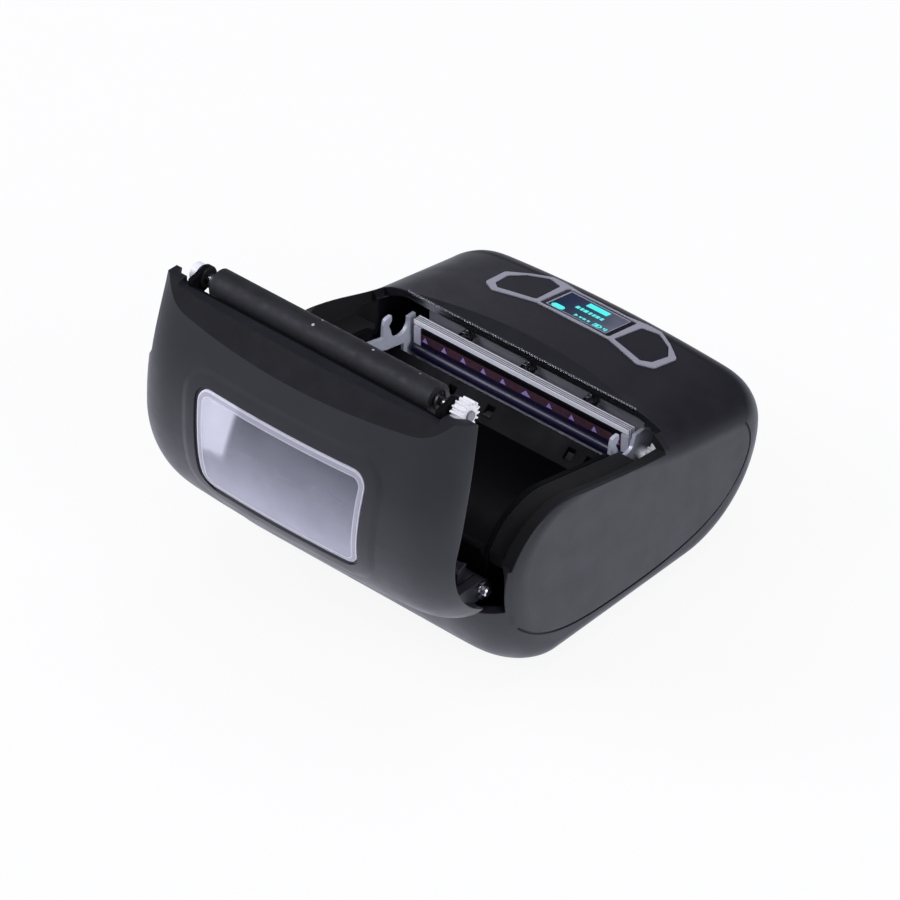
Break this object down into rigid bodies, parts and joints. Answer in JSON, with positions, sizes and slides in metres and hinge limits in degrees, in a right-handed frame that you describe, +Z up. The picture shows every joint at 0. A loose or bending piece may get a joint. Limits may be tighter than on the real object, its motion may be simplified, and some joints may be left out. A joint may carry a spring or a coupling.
{
  "type": "portable thermal receipt printer",
  "caption": "Hand-held receipt printer with a rounded casing, a hinged windowed cover over the paper bay, a platen roller, print head, and a panel with buttons and a screen.",
  "frame": {"origin": "middle of the flat base, on the plane that the printer stands on", "axes": "+X to the printer's right seen from the hinge side with the panel away from the viewer, +Y forward from the hinge towards the control panel, +Z up"},
  "size_m": [0.1184, 0.152, 0.1069],
  "materials": {
    "case_plastic": "satin moulded plastic",
    "cover_plastic": "satin moulded plastic",
    "bay_plastic": "matt moulded plastic",
    "window_clear": "clear moulded pane with a frosted rim",
    "roller_rubber": "matt rubber",
    "white_nylon": "satin nylon",
    "bright_steel": "bright",
    "zinc_plate": "zinc plated",
    "rail_aluminium": "bright extruded",
    "ceramic": "glazed",
    "head_gloss": "glossy resin",
    "spring_steel": "oiled",
    "dark_steel": "satin",
    "bezel_silver": "satin silver",
    "key_plastic": "satin",
    "lens_dark": "gloss",
    "display_glass": "gloss",
    "board_green": "solder mask",
    "battery_wrap": "shrink wrap",
    "motor_steel": "plated",
    "switch_black": "matt"
  },
  "bodies": {
    "case": {"main_case": "case_plastic", "hinge_pin": "bright_steel", "hinge_clips": "bright_steel", "tear_bar": "bright_steel", "paper_bin": "bay_plastic", "paper_sensor": "switch_black", "mechanism_frame": "dark_steel", "left_side_plate": "zinc_plate", "right_side_plate": "zinc_plate", "head_bracket": "dark_steel", "heat_sink": "rail_aluminium", "head_board": "ceramic", "head_cover": "head_gloss", "head_springs": "spring_steel", "gear_studs": "bright_steel", "feed_motor": "motor_steel", "control_bezel": "bezel_silver", "screen_lens": "lens_dark", "display_module": "display_glass", "key_board": "board_green", "key_switches": "switch_black", "board_screws": "bright_steel", "deck_screws": "bright_steel", "bottom_cover": "case_plastic", "bottom_screws": "dark_steel", "battery_pack": "battery_wrap", "main_board": "board_green", "usb_socket": "bright_steel"},
    "cover": {"paper_cover": "cover_plastic", "cover_window": "window_clear", "cover_frame": "bay_plastic", "platen_bushes": "white_nylon"},
    "platen": {"platen_shaft": "bright_steel", "platen_roller": "roller_rubber", "platen_clips": "bright_steel", "platen_gear": "white_nylon"},
    "idler": {"idler_gear": "white_nylon"},
    "drive": {"drive_gear": "white_nylon"},
    "motor_rotor": {"motor_pinion": "bright_steel"},
    "power_key": {"power_button": "key_plastic"},
    "feed_key": {"feed_button": "key_plastic"}
  },
  "joints": [
    {"name": "cover_hinge", "type": "hinge", "parent": "case", "child": "cover", "pos_m": [0, -0.0565, 0.0347], "axis": [1, 0, 0], "range_deg": [-89, 0]},
    {"name": "platen_spin", "type": "hinge", "parent": "cover", "child": "platen", "pos_m": [0, -0.06572, 0.10227], "axis": [1, 0, 0], "continuous": true},
    {"name": "idler_spin", "type": "hinge", "parent": "case", "child": "idler", "pos_m": [0, 0.02679, 0.03002], "axis": [1, 0, 0], "continuous": true},
    {"name": "drive_spin", "type": "hinge", "parent": "case", "child": "drive", "pos_m": [0, 0.01772, 0.03863], "axis": [1, 0, 0], "continuous": true},
    {"name": "motor_spin", "type": "hinge", "parent": "case", "child": "motor_rotor", "pos_m": [0, 0.03714, 0.02827], "axis": [1, 0, 0], "continuous": true},
    {"name": "power_press", "type": "slide", "parent": "case", "child": "power_key", "axis": [0, 0.1771, 0.9842], "range_m": [-0.0006, 0], "stiffness_N_per_m": 300},
    {"name": "feed_press", "type": "slide", "parent": "case", "child": "feed_key", "axis": [0, 0.1771, 0.9842], "range_m": [-0.0006, 0], "stiffness_N_per_m": 300}
  ],
  "couplings": [
    {"joint": "drive_spin", "follows": "idler_spin", "ratio": -1.7778},
    {"joint": "motor_spin", "follows": "idler_spin", "ratio": -3.2}
  ]
}
